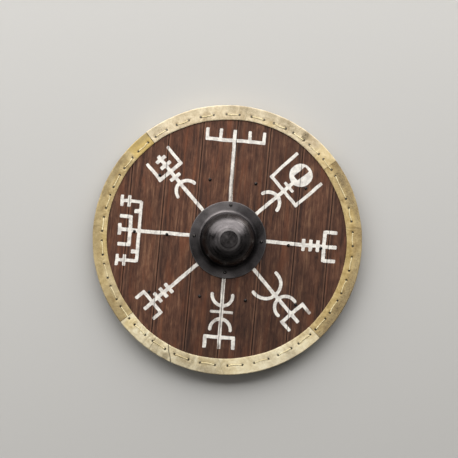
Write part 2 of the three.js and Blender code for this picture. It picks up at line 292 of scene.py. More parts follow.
class Finish:
    """A procedural material, built a node at a time. Values are sockets or constants."""

    def __init__(self, name, roughness, metallic=0.0, specular=0.5):
        self.material = bpy.data.materials.new(name)
        self.material.use_nodes = True
        self.tree = self.material.node_tree
        self.shader = self.tree.nodes["Principled BSDF"]
        self.shader.inputs["Metallic"].default_value = metallic
        self.shader.inputs["Roughness"].default_value = roughness
        self.shader.inputs["Specular IOR Level"].default_value = specular
        self.place = self.node("ShaderNodeTexCoord").outputs["Object"]

    def feed(self, socket, value):
        if isinstance(value, bpy.types.NodeSocket):
            self.tree.links.new(value, socket)
        else:
            socket.default_value = value

    def node(self, kind, inputs=None, **settings):
        """A node with its settings, and with its inputs fed by name or number."""
        made = self.tree.nodes.new(kind)
        for key, value in settings.items():
            setattr(made, key, value)
        for key, value in (inputs or {}).items():
            self.feed(made.inputs[key], value)
        return made

    def math(self, operation, first, second):
        return self.node("ShaderNodeMath", {0: first, 1: second}, operation=operation).outputs[0]

    def times(self, first, second):
        return self.math("MULTIPLY", first, second)

    def plus(self, first, second):
        return self.math("ADD", first, second)

    def rest(self, value):
        """What a value lacks of 1."""
        return self.math("SUBTRACT", 1.0, value)

    def total(self, *layers):
        """The sum of layers, each (value, share)."""
        total = self.times(*layers[0])
        for layer in layers[1:]:
            total = self.plus(total, self.times(*layer))
        return total

    def scaled(self, value, low, high):
        """A 0 to 1 value spread from low to high."""
        return self.plus(self.times(value, high - low), low)

    def attribute(self, name):
        return self.node("ShaderNodeAttribute", attribute_name=name).outputs["Fac"]

    def vector(self, *parts):
        return self.node("ShaderNodeCombineXYZ", dict(enumerate(parts))).outputs[0]

    def noise(self, cell, detail=2.0, roughness=0.5, warp=0.0, place=None):
        """Noise from 0 to 1 with cells of the given size, in metres along x, y and z."""
        sizes = cell if isinstance(cell, tuple) else (cell, cell, cell)
        inputs = {"Vector": place or self.place, "Scale": [1 / size for size in sizes]}
        inputs = {"Vector": self.node("ShaderNodeMapping", inputs).outputs[0], "Scale": 1.0}
        inputs.update({"Detail": detail, "Roughness": roughness, "Distortion": warp})
        return self.node("ShaderNodeTexNoise", inputs).outputs["Fac"]

    def rings(self, per_metre):
        """Noise from 0 to 1 in rings round the shield's origin."""
        radius = self.node("ShaderNodeVectorMath", {0: self.place}, operation="LENGTH").outputs["Value"]
        inputs = {"W": self.times(radius, per_metre)}
        return self.node("ShaderNodeTexNoise", inputs, noise_dimensions="1D").outputs["Fac"]

    def ramp(self, factor, *stops):
        """A colour ramp. Each stop is (position, colour)."""
        made = self.node("ShaderNodeValToRGB", {0: factor})
        elements = made.color_ramp.elements
        while len(elements) < len(stops):
            elements.new(0.5)
        for element, (position, colour) in zip(elements, stops):
            element.position = position
            element.color = colour
        return made.outputs["Color"]

    def between(self, value, low, high):
        """0 below low, 1 above high, with an eased step between."""
        inputs = {"Value": value, "From Min": low, "From Max": high}
        return self.node("ShaderNodeMapRange", inputs, interpolation_type="SMOOTHSTEP").outputs["Result"]

    def band(self, value, low, full, full_end, high):
        """1 between the two middle numbers, easing to 0 outside."""
        return self.times(self.between(value, low, full), self.rest(self.between(value, full_end, high)))

    def mix(self, factor, first, second, blend="MIX"):
        inputs = {0: factor, 6: first, 7: second}
        return self.node("ShaderNodeMix", inputs, data_type="RGBA", blend_type=blend).outputs[2]

    def tinted(self, colour, tint, amount, share):
        """A colour taken towards a tint by a share of an amount."""
        return self.mix(self.times(amount, share), colour, tint)

    def blend(self, factor, first, second):
        """One number between two others."""
        return self.node("ShaderNodeMix", {0: factor, 2: first, 3: second}, data_type="FLOAT").outputs[0]

    def done(self, colour, roughness=None, *relief):
        """The material. Each layer of its relief is (height from 0 to 1, depth in metres)."""
        self.feed(self.shader.inputs["Base Color"], colour)
        if roughness:
            self.feed(self.shader.inputs["Roughness"], roughness)
        if relief:
            inputs = {"Strength": 1.0, "Distance": 1.0, "Height": self.total(*relief)}
            self.feed(self.shader.inputs["Normal"], self.node("ShaderNodeBump", inputs).outputs["Normal"])
        return self.material


# Wood colours: the grain's dark, middle, light and bare one, and a red one
BOARD_SHADES = ((48, 29, 19), (73, 45, 32), (93, 61, 45), (122, 88, 65), (108, 61, 37))
BATTEN_SHADES = ((70, 46, 33), (98, 68, 49), (122, 88, 64), (146, 110, 82), (120, 76, 50))

BOARD_APART = 3.7  # metres of grain from one board to the next, so that no two look alike

# Marks in the wood: (cell in metres, detail, warp, starts at, is full at, share, number of its colour)
WOOD_MARKS = (
    ((0.018, 0.16, 0.1), 3, 0.5, 0.5, 0.7, 0.5, 4),  # red clouds
    ((0.0012, 0.018, 0.01), 2, 0.0, 0.6, 0.7, 0.45, 0),  # pores
    ((0.0013, 0.01, 0.008), 2, 0.0, 0.63, 0.72, 0.4, 3),  # flecks
)


def wood_layers(finish, shades):
    """Stained wood with its grain along Y. Returns its colour, and its grain for the relief."""
    apart = finish.vector(0.0, finish.times(finish.attribute("board"), BOARD_APART), 0.0)
    own = finish.node("ShaderNodeVectorMath", {0: finish.place, 1: apart}, operation="ADD").outputs[0]
    band = finish.noise((0.028, 0.45, 0.2), 2, 0.5, 0.3, own)
    streak = finish.noise((0.0065, 0.13, 0.06), 4, 0.62, 0.6, own)
    fibre = finish.noise((0.0015, 0.035, 0.02), 3, 0.65, 0.3, own)
    cloud = finish.noise((0.014, 0.03, 0.03), 3, 0.55, 0.8, own)
    blend = finish.total((band, 0.2), (streak, 0.33), (fibre, 0.25), (cloud, 0.22))
    shades = [srgb(*shade) for shade in shades]
    stain = finish.ramp(blend, *zip((0.4, 0.46, 0.53, 0.6), shades))
    for cell, detail, warp, low, high, share, shade in WOOD_MARKS:
        marks = finish.between(finish.noise(cell, detail, 0.5, warp, own), low, high)
        stain = finish.tinted(stain, shades[shade], marks, share)
    return stain, fibre, streak


def board_finish():
    """The boards: dark stain, lighter beside the seams, with painted shade in the grooves and the painted
    stave.
    """
    finish = Finish("stained boards", 0.55, specular=0.35)
    stain, fibre, streak = wood_layers(finish, BOARD_SHADES)
    tone = finish.ramp(finish.attribute("tone"), (0.0, (0.5, 0.5, 0.5, 1)), (1.0, (1.5, 1.5, 1.5, 1)))
    stain = finish.mix(1.0, stain, tone, "MULTIPLY")

    # Lighter beside the seams, and darker a little further in
    seam = finish.attribute("seam")
    uneven = finish.noise((0.004, 0.03, 0.01), 3)
    reach = finish.plus(seam, finish.scaled(uneven, -1.6, 1.6))
    stain = finish.tinted(stain, srgb(124, 90, 70), finish.band(reach, 1.4, 2.6, 3.6, 5.4), 0.4)
    stain = finish.tinted(stain, srgb(42, 26, 20), finish.band(reach, 5.0, 7.5, 9.5, 14.0), 0.45)

    ragged = finish.noise(0.0022, 3, 0.6)
    stroke = finish.plus(finish.attribute("paint"), finish.scaled(ragged, -1.1, 1.1))
    dry = finish.noise((0.0018, 0.014, 0.01), 3, 0.6)
    patch = finish.noise(0.012, 2, 0.5)
    wear = finish.between(finish.total((dry, 0.7), (patch, 0.3)), 0.34, 0.5)
    cover = finish.times(finish.between(stroke, -0.4, 0.3), finish.scaled(wear, 0.78, 1.0))
    thin = finish.times(finish.attribute("thin"), finish.scaled(finish.between(dry, 0.35, 0.6), 1.0, 0.3))
    cover = finish.times(cover, finish.rest(thin))
    white = finish.ramp(patch, (0.35, srgb(212, 206, 198)), (0.6, srgb(240, 235, 225)))
    colour = finish.mix(cover, stain, white)

    # Painted shade in the V-grooves along the board joints, weaker where the white paint bridges them
    groove_shade = finish.rest(finish.between(finish.plus(seam, finish.scaled(uneven, -0.6, 0.6)), 0.5, 1.9))
    groove_shade_shown = finish.times(groove_shade, finish.scaled(cover, 0.85, 0.5))
    colour = finish.mix(groove_shade_shown, colour, srgb(24, 15, 11))
    rough = finish.blend(cover, finish.scaled(streak, 0.62, 0.42), 0.62)
    relief = (fibre, 0.25 * MM), (streak, 0.3 * MM), (cover, 0.12 * MM), (ragged, 0.05 * MM)
    return finish.done(colour, rough, *relief)


def batten_finish():
    """The battens: planed wood with its grain along X, paler where it is worn."""
    finish = Finish("planed batten wood", 0.6)
    x, y, z = finish.node("ShaderNodeSeparateXYZ", {0: finish.place}).outputs
    finish.place = finish.vector(y, x, z)
    stain, fibre, streak = wood_layers(finish, BATTEN_SHADES)
    worn = finish.between(finish.attribute("wear"), 0.2, 0.9)
    colour = finish.tinted(stain, srgb(150, 116, 86), worn, 0.5)
    return finish.done(colour, finish.scaled(streak, 0.68, 0.5), (fibre, 0.2 * MM), (streak, 0.25 * MM))


# Stains in the hide, and its painted shade: (attribute, how much of it shows, colour)
STAIN_AND_SHADE_TONES = (
    ("bleach", 0.45, srgb(226, 216, 188)),
    ("ochre", 0.64, srgb(212, 182, 104)),
    ("grey", 0.75, srgb(128, 113, 86)),
    ("painted_shade", 1.0, srgb(34, 25, 17)),
)

# The four strips of hide: (name, pale, middle, deep and speck colour, amount of specks, of freckles)
HIDE_TONES = (
    ("greyish rawhide", (202, 180, 130), (182, 158, 110), (150, 126, 82), (92, 74, 50), 0.1, 1.0),
    ("cream rawhide", (240, 230, 198), (224, 209, 172), (194, 176, 138), (150, 128, 96), 0.02, 0.35),
    ("olive rawhide", (204, 182, 134), (182, 160, 112), (156, 132, 88), (120, 98, 64), 0.04, 0.4),
    ("pale rawhide", (234, 218, 186), (212, 194, 160), (184, 164, 130), (140, 120, 92), 0.03, 0.85),
)


def hide_finish(name, pale, middle, deep, speck, specks, freckled):
    """Dry rawhide: cloudy, veined, specked and stained, with painted shade at holes, creases, seams and
    the lace.
    """
    finish = Finish(name, 0.5, specular=0.3)
    cloud = finish.noise(0.045, 3, 0.55, 0.6)
    mottle = finish.noise(0.011, 4, 0.6, 0.8)
    blend = finish.total((cloud, 0.55), (mottle, 0.45))
    colour = finish.ramp(blend, (0.38, srgb(*deep)), (0.5, srgb(*middle)), (0.62, srgb(*pale)))
    spots = finish.between(finish.noise(0.0042, 3, 0.7, 0.4), 0.72 - specks, 0.86 - specks)
    spots = finish.times(spots, finish.scaled(finish.between(cloud, 0.42, 0.58), 0.9, 0.25))
    colour = finish.tinted(colour, srgb(*speck), spots, 0.55)
    # Stains, and the painted shade at the holes, creases and seams and beside the lace
    for stain, share, tone in STAIN_AND_SHADE_TONES:
        colour = finish.tinted(colour, tone, finish.attribute(stain), share)
    freckles = finish.between(finish.noise(0.003, 3, 0.75, 0.4), 0.5, 0.62)
    freckles = finish.times(freckles, finish.attribute("grey"))
    colour = finish.tinted(colour, srgb(76, 64, 48), freckles, freckled)
    pores, wrinkles = finish.noise(0.0009, 2, 0.6), finish.noise(0.006, 4, 0.6, 1.2)
    relief = (pores, 0.08 * MM), (wrinkles, 0.45 * MM), (spots, 0.1 * MM)
    return finish.done(colour, finish.scaled(mottle, 0.42, 0.64), *relief)


def lace_finish():
    """The thong: pale rawhide, with painted shade where it goes down into its holes."""
    finish = Finish("rawhide lace", 0.5)
    strand = finish.noise(0.0014, 3, 0.6)
    blend = finish.total((strand, 0.5), (finish.noise(0.045, 2), 0.5))
    colour = finish.ramp(blend, (0.36, srgb(190, 168, 118)), (0.6, srgb(248, 235, 190)))
    # Painted shade where the thong goes into its holes
    colour = finish.mix(finish.attribute("sunk"), colour, srgb(38, 29, 20))
    return finish.done(colour, None, (strand, 0.15 * MM))


def boss_finish():
    """Blackened steel sheet, spun and hammered, with a dull sheen."""
    finish = Finish("blackened steel", 0.4, 0.93)
    cloud, fine = finish.noise(0.03, 4, 0.6, 0.6), finish.noise(0.0035, 3, 0.6)
    blend = finish.total((cloud, 0.6), (fine, 0.4))
    # The tone carries the painted shade and light on the dome and flange
    tone = finish.plus(finish.attribute("tone"), finish.scaled(blend, -0.35, 0.35))
    black, middle, pale = srgb(26, 24, 24), srgb(84, 80, 80), srgb(144, 138, 137)
    colour = finish.ramp(tone, (0.0, black), (0.45, middle), (1.0, pale))
    # Pale metal where rubbed, and on the bevel ring as painted light
    colour = finish.tinted(colour, srgb(136, 132, 130), finish.attribute("wear"), 0.6)
    polish = finish.plus(finish.scaled(blend, 0.12, 0.32), finish.times(finish.attribute("swirl"), 0.16))
    rough = finish.blend(finish.attribute("flange"), polish, 0.62)
    spun, hammered = finish.rings(900.0), finish.rings(190.0)
    relief = (fine, 0.04 * MM), (cloud, 0.12 * MM), (spun, 0.03 * MM), (hammered, 0.12 * MM)
    return finish.done(colour, rough, *relief)


def iron_finish():
    """The nails: blackened iron, bright where the crown is worn."""
    finish = Finish("nail iron", 0.35, 0.8)
    rough = finish.noise(0.0022, 3, 0.6)
    blacked = finish.ramp(rough, (0.35, srgb(20, 18, 17)), (0.65, srgb(52, 48, 46)))
    colour = finish.mix(finish.attribute("wear"), blacked, srgb(176, 170, 164))
    return finish.done(colour, finish.scaled(rough, 0.16, 0.34), (rough, 0.12 * MM))


# The painted stave: eight arms round the boss, in millimetres


class Strokes:
    """A pen that paints strokes on one arm after another, and how far each point lies inside them."""

    WIDTH = 10.0
    ROUNDING = 1.6
    START = 108.0  # the strokes start beside the boss
    BARE = -60.0  # far from any stroke

    def __init__(self, x, y):
        self.x, self.y = x, y
        self.inside = np.full(len(x), self.BARE)

    def add(self, inside):
        self.inside = np.maximum(self.inside, inside)

    def arm(self, angle, shift=0.0, lean=0.0, out=0.0):
        """Points the pen along one arm. Across is counted to its counter-clockwise side."""
        turn = math.radians(angle)
        self.along = self.x * math.sin(turn) + self.y * math.cos(turn) - out
        across = -self.x * math.cos(turn) + self.y * math.sin(turn)
        self.across = across - shift - lean * (self.along - self.START)

    def bar(self, along, low, high, width=WIDTH):
        """A stroke across the arm, between two places across."""
        self.block((along, (low + high) / 2), (width / 2, (high - low) / 2))

    def cross(self, *places, half=17.0, centre=0.0, width=WIDTH):
        for along in places:
            self.bar(along, centre - half, centre + half, width)

    def lines(self, start, end, *places, width=WIDTH):
        """Strokes along the arm, at each place across."""
        for across in places:
            self.block(((start + end) / 2, across), ((end - start) / 2, width / 2))

    def block(self, centre, half):
        along = np.abs(self.along - centre[0]) - half[0] + self.ROUNDING
        across = np.abs(self.across - centre[1]) - half[1] + self.ROUNDING
        beyond = np.hypot(np.maximum(along, 0), np.maximum(across, 0))
        self.add(self.ROUNDING - beyond - np.minimum(np.maximum(along, across), 0))

    def arc(self, centre, radius, spread, opens_inward, width=WIDTH - 0.8):
        """A bow across the arm, spread to each side of its top."""
        side = 1 if opens_inward else -1
        along = (self.along - centre) * side
        angle = np.arctan2(self.across, along)
        limit = math.radians(spread)
        ring = width / 2 - np.abs(np.hypot(along, self.across) - radius)
        tip_along, tip_across = radius * math.cos(limit), radius * math.sin(limit)
        tip = width / 2 - np.hypot(along - tip_along, np.abs(self.across) - tip_across)
        self.add(np.where(np.abs(angle) < limit, ring, tip))

    def disc(self, centre, across, radius, slot):
        """A filled disc with an open slot: (from, to, across, half width)."""
        disc = radius - np.hypot(self.along - centre, self.across - across)
        start, end, slot_across, half = slot
        outside = np.maximum(
            np.abs(self.along - (start + end) / 2) - (end - start) / 2,
            np.abs(self.across - slot_across) - half,
        )
        self.add(np.minimum(disc, outside))


def painted_stave(points):
    """Millimetres inside the strokes, for points on the front."""
    wander, cell = 0.9, 0.035
    x = points[:, 0] / MM + wander * noise(points, cell, 71, 2)
    y = points[:, 1] / MM + wander * noise(points, cell, 72, 2)
    pen = Strokes(x, y)

    # Top arm: a comb of five tines
    pen.arm(0, 2.5, 0.018, 1.0)
    pen.lines(105, 310, 0)
    pen.arm(0, 0.5, 0.0, 1.0)
    pen.bar(279.5, -82.4, 87, 9.5)
    pen.lines(279.5, 310, 82.5, 44.6, -36.7, -77.5, width=9)

    # Upper right arm: a disc with a slot, in an open bracket
    pen.arm(45, 4.5)
    pen.lines(104, 252, 0)
    pen.arm(45, 6.0, 0.0, 3.2)
    pen.arc(152, 31.6, 80, True)
    pen.arm(45, 4.3)
    pen.bar(209.7, -58.0, 58.0, 9)
    pen.cross(228, half=18.3, centre=-1.5, width=8.5)
    pen.arm(45)
    pen.lines(209.7, 306.5, -48.5, width=9)
    pen.disc(275.5, 7.4, 32.8, (259, 300.5, 10.5, 8.6))
    pen.arm(45, 1.5, 0.04)
    pen.lines(209.7, 309.5, 52.0, width=9)

    # Right arm
    pen.arm(90, 5.2)
    pen.lines(106, 308, 0)
    pen.cross(214, 235, 255.5, half=16.7)
    pen.bar(273, -43.7, 45.3)
    pen.lines(273, 308, 41.5, -39.7)

    # Lower right arm
    pen.arm(135, 3.25)
    pen.lines(106, 307, 0)
    pen.arc(163, 42.3, 95, True)
    pen.arc(250.4, 31, 98, False)
    pen.bar(275, -38, 46.6)
    pen.lines(275, 309, -33.5, 42, width=9)

    # Bottom arm
    pen.arm(180, -1.5, 0.017, -2.5)
    pen.lines(106, 310, 0)
    pen.arc(159, 29, 94, True)
    pen.cross(206, half=32, width=7.6)
    pen.arc(255, 29, 92, False)
    pen.arm(180, -1.5, 0.0, -2.5)
    pen.bar(277.5, -43, 47)
    pen.lines(277.5, 310, -38.5, 42.5)

    # Lower left arm
    pen.arm(225, -2.25)
    pen.lines(106, 306, 0)
    pen.cross(214.5, 234, 254.6, half=17)
    pen.bar(275, -42, 42, 9)
    pen.lines(275, 305.5, -37.5, 37.5, width=9)

    # Left arm: a comb within a comb
    pen.arm(270, -3.4, 0.0, 0.5)
    pen.lines(106, 306, 0)
    pen.cross(305.7, half=16.4)
    pen.bar(250.4, -82.5, 89, 9)
    pen.lines(250.4, 306, -80.8, 85.6, width=9)
    for across in (-80.8, 85.6):
        pen.cross(284.6, 305.7, half=16.4, centre=across, width=9)
    pen.bar(276, -41, 46)
    pen.lines(276, 307, -36.5, 41.5)
    pen.lines(250.4, 268, -53.3, 59.7, width=11)

    # Upper left arm
    pen.arm(315, -0.25, 0.0, 0.5)
    pen.lines(106, 306, 0)
    pen.arc(178.5, 30.2, 84, True)
    pen.cross(229.5, half=17.5)
    pen.bar(250.4, -42.4, 42.4)
    pen.lines(250.4, 310.5, -37.5, 37.5, width=9)
    pen.cross(272.5, half=18)
    pen.cross(293.3, half=16.5)
    return pen.inside


# Where the paint ran thin: (x, y, radius, strength), in millimetres
THIN_PAINT = (
    (253, -186, 24, 0.85),
    (-2, -306, 22, 0.7),
    (-1, -225, 60, 0.35),
    (1, -130, 30, 0.3),
    (2, 150, 60, 0.35),
    (-191, -237, 22, 0.45),
    (252, 184, 22, 0.4),
    (-8, 310, 14, 0.3),
)


def thin_paint(points):
    """How thin the paint is, from 0 to 1."""
    thin = np.zeros(len(points))
    for x, y, radius, strength in THIN_PAINT:
        far = np.hypot(points[:, 0] / MM - x, points[:, 1] / MM - y)
        thin = np.maximum(thin, strength * smooth_step(radius, radius * 0.4, far))
    return thin


# Boards

GROOVE_DEPTH = 1.5 * MM
GROOVE_WIDTH = 1.7 * MM
ROW_STEP = 3.0 * MM
COLUMN_STEP = 2.4 * MM
BUTT_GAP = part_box("board_3")[0].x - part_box("board_2")[1].x - 0.01 * MM
EDGE_COLUMNS = np.array([0.0, 0.25, 0.6, 1.0, 1.4, 1.8, 2.4, 3.4]) * MM
HOLE_COLUMNS = HAND_HOLE_RADIUS * np.sin(np.radians(np.arange(4, 90.1, 2.0)))
NO_SEAM = 20.0
BACK_TONE = 0.12  # how much lighter the back is

# Each board's tone half way up, and how much lighter it grows towards the top
BOARD_TONES = (
    (0.54, 0.04), (0.58, 0.04), (0.54, 0.04), (0.42, 0.25),
    (0.33, 0.13), (0.24, 0.02), (0.39, 0.19), (0.32, 0.04),
)

# Lighter and darker clouds in that tone: (strength, cell in metres, seed, octaves)
BOARD_CLOUDS = (
    (0.1, (0.08, 0.25, 1.0), 40, 1),
    (0.17, (0.036, 0.075, 1.0), 140, 2),
    (0.07, (0.01, 0.02, 1.0), 240, 1),
)


def front_of_board(x, y, left, right, number):
    """Height of a board's worked face: V-groove edges, a slight crown and the grain."""
    at = np.stack([x, y, np.full_like(x, number * 0.37)], axis=1)
    edge = np.minimum(x - left, right - x)
    width = GROOVE_WIDTH * (1 + 0.22 * noise(at, (1.0, 0.04, 1.0), 5, 2))
    groove = GROOVE_DEPTH * np.clip(1 - edge / width, 0, 1) ** 1.2
    across = (x - (left + right) / 2) / (right - left)
    crown = 0.7 * MM * across**2
    grain = 0.10 * MM * noise(at, (0.004, 0.09, 1.0), 11, 3)
    grain += 0.16 * MM * noise(at, (0.025, 0.3, 1.0), 12)
    tilt = 0.12 * MM * across * math.sin(number * 2.3)
    return WOOD_FRONT - (groove + crown + np.abs(grain) + np.abs(tilt - 0.06 * MM))


def slab(columns, starts, ends, rows, left, right, number):
    """A board, or half of one, as a front and a back grid joined round the sides."""
    share = np.linspace(0, 1, rows)[:, None]
    y = starts[None, :] + share * (ends - starts)[None, :]
    x = np.broadcast_to(columns, y.shape)
    front = front_of_board(x.ravel(), y.ravel(), left, right, number).reshape(y.shape)
    back = WOOD_BACK + 0.5 * MM * np.clip(1 - np.minimum(x - left, right - x) / (0.6 * MM), 0, 1)
    top = np.stack([x, y, front], axis=2)
    bottom = np.stack([x, y, back], axis=2)[:, ::-1]
    points = np.concatenate([top, bottom], axis=1).reshape(-1, 3)
    return points, ring_faces(rows, 2 * len(columns))


def board_mesh(left, right, number):
    """Points and faces of one board, as two halves where it is cut out for the hand hole."""
    holed = min(abs(left), abs(right)) < HAND_HOLE_RADIUS
    if holed:
        middle = np.concatenate([HOLE_COLUMNS, np.arange(75 * MM, 90 * MM, COLUMN_STEP)])
        middle *= 1 if right > 10 * MM else -1
    else:
        edge = EDGE_COLUMNS[-1]
        middle = np.arange(left + edge + 2 * MM, right - edge - 1 * MM, COLUMN_STEP)
    columns = np.concatenate([left + EDGE_COLUMNS, middle, right - EDGE_COLUMNS])
    first, last = max(left, 0.8 * MM - WOOD_RADIUS), min(right, WOOD_RADIUS - 0.8 * MM)
    columns = np.unique(np.round(columns[(columns >= first) & (columns <= last)], 7))
    sides = 2 * len(columns)
    ends = np.sqrt(WOOD_RADIUS**2 - columns**2)
    if not holed:
        rows = int(2 * ends.max() / ROW_STEP) + 1
        points, faces = slab(columns, -ends, ends, rows, left, right, number)
        return points, np.concatenate([faces, folded_caps(rows, sides)])

    starts = np.sqrt(np.maximum(HAND_HOLE_RADIUS**2 - columns**2, 0))
    starts[starts < 0.5 * MM] = 0
    open_wall = (starts[:-1] > 0) | (starts[1:] > 0)
    rows = int(WOOD_RADIUS / ROW_STEP) + 1
    near, far = np.split(folded_caps(rows, sides), 2)
    parts, faces = [], []
    for sign in (1, -1):
        points, quads = slab(columns, sign * starts, sign * ends, rows, left, right, number)
        quads = np.concatenate([quads, near[open_wall], far])[:, ::sign]
        faces.append(quads + sum(len(part) for part in parts))
        parts.append(points)
    return welded(np.concatenate(parts), np.concatenate(faces))


def build_board(node, number, material, drill):
    left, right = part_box(node)[0].x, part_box(node)[1].x
    # The solids keep a gap that the butted edges don't have
    left -= BUTT_GAP / 2 if number > 1 else 0
    right += BUTT_GAP / 2 if number < len(BOARDS) else 0
    piece = drilled(make_object(f"plank_{number}", *board_mesh(left, right, number)), drill)

    at = points_of(piece)
    on_front = at[:, 2] > WOOD_BACK + 0.7 * (WOOD_FRONT - WOOD_BACK)
    edge = np.minimum(at[:, 0] - left, right - at[:, 0]) / MM
    middle, rise = BOARD_TONES[number - 1]
    tone = middle + rise * at[:, 1] / WOOD_RADIUS * 1.5
    for strength, cell, seed, octaves in BOARD_CLOUDS:
        tone += strength * noise(at, cell, seed + number, octaves)
    set_attributes(
        piece,
        paint=np.where(on_front, painted_stave(at), Strokes.BARE),
        thin=thin_paint(at),
        seam=np.where(on_front, edge, NO_SEAM),
        board=np.full(len(at), float(number)),
        tone=np.where(on_front, tone, tone + BACK_TONE),
    )
    finish_piece(piece, [node], material)


# Rawhide rim and its lace


def stitches():
    """Where each stitch comes up and goes down, in degrees."""
    index = np.arange(STITCH_COUNT)
    extra = math.degrees((LONG_STITCH_LENGTH - STITCH_LENGTH) / STITCH_RADIUS)
    even = (360 - extra) / STITCH_COUNT * index + extra / 2 * (np.sign(index - LONG_STITCH) + 1)
    centre = even + STITCH_START
    for order, (drift, phase) in enumerate(STITCH_DRIFTS, 1):
        centre = centre + drift * np.cos(np.radians(order * even - phase))
    length = STITCH_LENGTH - STITCH_LENGTH_SWING * np.cos(np.radians(centre))
    length[LONG_STITCH] = LONG_STITCH_LENGTH
    half = np.degrees(length / STITCH_RADIUS / 2)
    return np.stack([centre - half, centre + half], axis=1)


def hole_places():
    """Where the lace's holes are, each reaching a little past the end of its stitch."""
    reach = math.degrees(HOLE_REACH / STITCH_RADIUS)
    angles = (stitches() + np.array([-reach, reach])).ravel()
    return angles, outward(angles) * STITCH_RADIUS


def lace_distance(degrees, radius, front):
    """Each point's distance from the lace's runs, on the front or else on the back."""
    ends = stitches().ravel()
    near = np.full((2, len(degrees)), 1.0)
    for index, (first, last) in enumerate(zip(ends, np.append(ends[1:], ends[0] + 360))):
        side = index % 2
        share = (degrees - first) % 360 / (last - first)
        bow = BACK_SLACK if side else -FRONT_SLACK[index // 2]
        path = STITCH_RADIUS + bow * np.sin(math.pi * np.minimum(share, 1))
        near[side] = np.where(share <= 1, np.minimum(near[side], np.abs(radius - path)), near[side])
    return np.where(front, *near)


# How the hide's front edge wanders: (millimetres, waves round the shield, phase in degrees)
INNER_EDGE = 337.9 * MM
INNER_WAVES = ((3.2, 1, 46), (1.15, 4, -85), (0.7, 6, -139), (0.4, 2, 147), (0.35, 17, -90))


def inner_edge(degrees):
    """Radius of the hide's cut front edge."""
    return INNER_EDGE + MM * sum(
        size * np.cos(np.radians(waves * degrees + phase)) for size, waves, phase in INNER_WAVES
    )


def back_edge(degrees):
    """Radius of the hide's cut back edge."""
    angle = np.radians(degrees)
    wander = 2.2 * np.cos(3 * angle + 1) + 1.4 * np.cos(5 * angle - 2) + 0.8 * np.sin(11 * angle)
    return SHIELD_RADIUS - RIM_BACK_WIDTH + MM * wander


# Creases across the hide, in degrees but for the depth in millimetres:
# (angle at the outer edge, angle at the inner edge, half width, depth, painted shade)
CREASES = (
    (199.8, 204.6, 0.24, 0.9, 1.0),
    (210.6, 211.3, 0.14, 0.6, 0.7),
    (176.5, 179.5, 0.15, 0.3, 0.3),
    (192.0, 190.0, 0.5, 0.35, 0.15),
    (207.5, 208.5, 0.5, 0.35, 0.15),
    (214.5, 214.0, 0.35, 0.3, 0.2),
    (80.2, 79.0, 0.3, 0.3, 0.3),
    (270.8, 270.8, 0.35, 0.2, 0.12),
    (346.0, 345.0, 0.4, 0.2, 0.12),
    (3.4, 3.2, 0.2, 0.25, 0.25),
)

# Stains on the front, in degrees and millimetres:
# (angle, radius, half angle, half width, strength, softness)
STAINS = {
    "grey": (
        (4, 372, 5, 14, 0.35, 0.6), (13, 366, 4, 14, 0.3, 0.7), (23.5, 366, 5, 14, 0.5, 0.7),
        (31.8, 366, 1.6, 12, 1, 0.4), (57, 364, 4.5, 11, 0.75, 0.7), (66.5, 366, 4.5, 12, 0.7, 0.7),
        (99, 374, 9, 12, 0.5, 0.7), (115, 373, 17, 17, 0.65, 0.5), (146, 370, 2.6, 15, 0.4, 0.6),
        (183, 361, 6.5, 40, 0.45, 0.6), (184, 373, 5, 14, 0.7, 0.6), (194.5, 364, 6, 26, 0.45, 0.7),
        (203.2, 373, 1.6, 13, 0.9, 0.5), (207, 371, 5.5, 16, 0.4, 0.7), (232, 366, 4, 22, 0.35, 0.6),
        (241.5, 362, 3, 30, 0.3, 0.6), (268, 372, 14, 14, 0.35, 0.6), (294, 372, 12, 9, 0.5, 0.5),
        (322, 366, 3, 24, 0.3, 0.6), (357, 373, 2, 12, 0.4, 0.6),
    ),
    "ochre": (
        (14.5, 347, 3.5, 9, 0.4, 0.6), (46, 361, 6.5, 60, 0.6, 0.4), (74.5, 358, 4, 22, 0.3, 0.6),
        (100, 346, 26, 10, 0.35, 0.5), (136.5, 361, 5, 60, 0.22, 0.5), (171, 362, 9, 30, 0.25, 0.6),
        (184, 347, 4, 9, 0.45, 0.6), (224.6, 361, 2.2, 20, 0.55, 0.5), (262, 346, 9, 9, 0.35, 0.6),
        (312.3, 361, 5.5, 90, 0.9, 0.1),
    ),
    "bleach": (
        (160, 364, 12, 24, 0.8, 0.7), (245, 348, 13, 10, 0.5, 0.7),
    ),
}


def near_hole(at):
    """Distance from the middle of the nearest lace hole."""
    near = np.full(len(at), 1.0)
    for hole in hole_places()[1]:
        near = np.minimum(near, np.hypot(*(at[:, :2] - hole[:2]).T))
    return near


def off_crease(degrees, radius, crease):
    """How far round from a crease, in half widths."""
    across = np.clip((SHIELD_RADIUS - radius) / (SHIELD_RADIUS - inner_edge(degrees)), 0, 1)
    middle = crease[0] + (crease[1] - crease[0]) * across
    return off_angle(degrees, middle) / crease[2] + 0.5 * np.sin(across * 9 + crease[0])


def hide_lift(at, degrees, front):
    """How far the hide's outer skin stands off its even shape, in metres."""
    radius = polar(at)[1]
    near = near_hole(at)
    lift = 0.35 * MM * noise(at, 0.03, 21, 2) + 0.12 * MM * noise(at, 0.007, 22, 2)
    lift += 0.3 * MM * bell(near - 9 * MM, 4 * MM) - 0.6 * MM * bell(near, 5 * MM)
    lift -= 0.1 * MM * bell(lace_distance(degrees, radius, front), 2 * MM)
    for crease in CREASES:
        off = off_crease(degrees, radius, crease)
        lift += crease[3] * MM * (0.4 * bell(np.abs(off) - 2.4) - bell(off))
    return lift


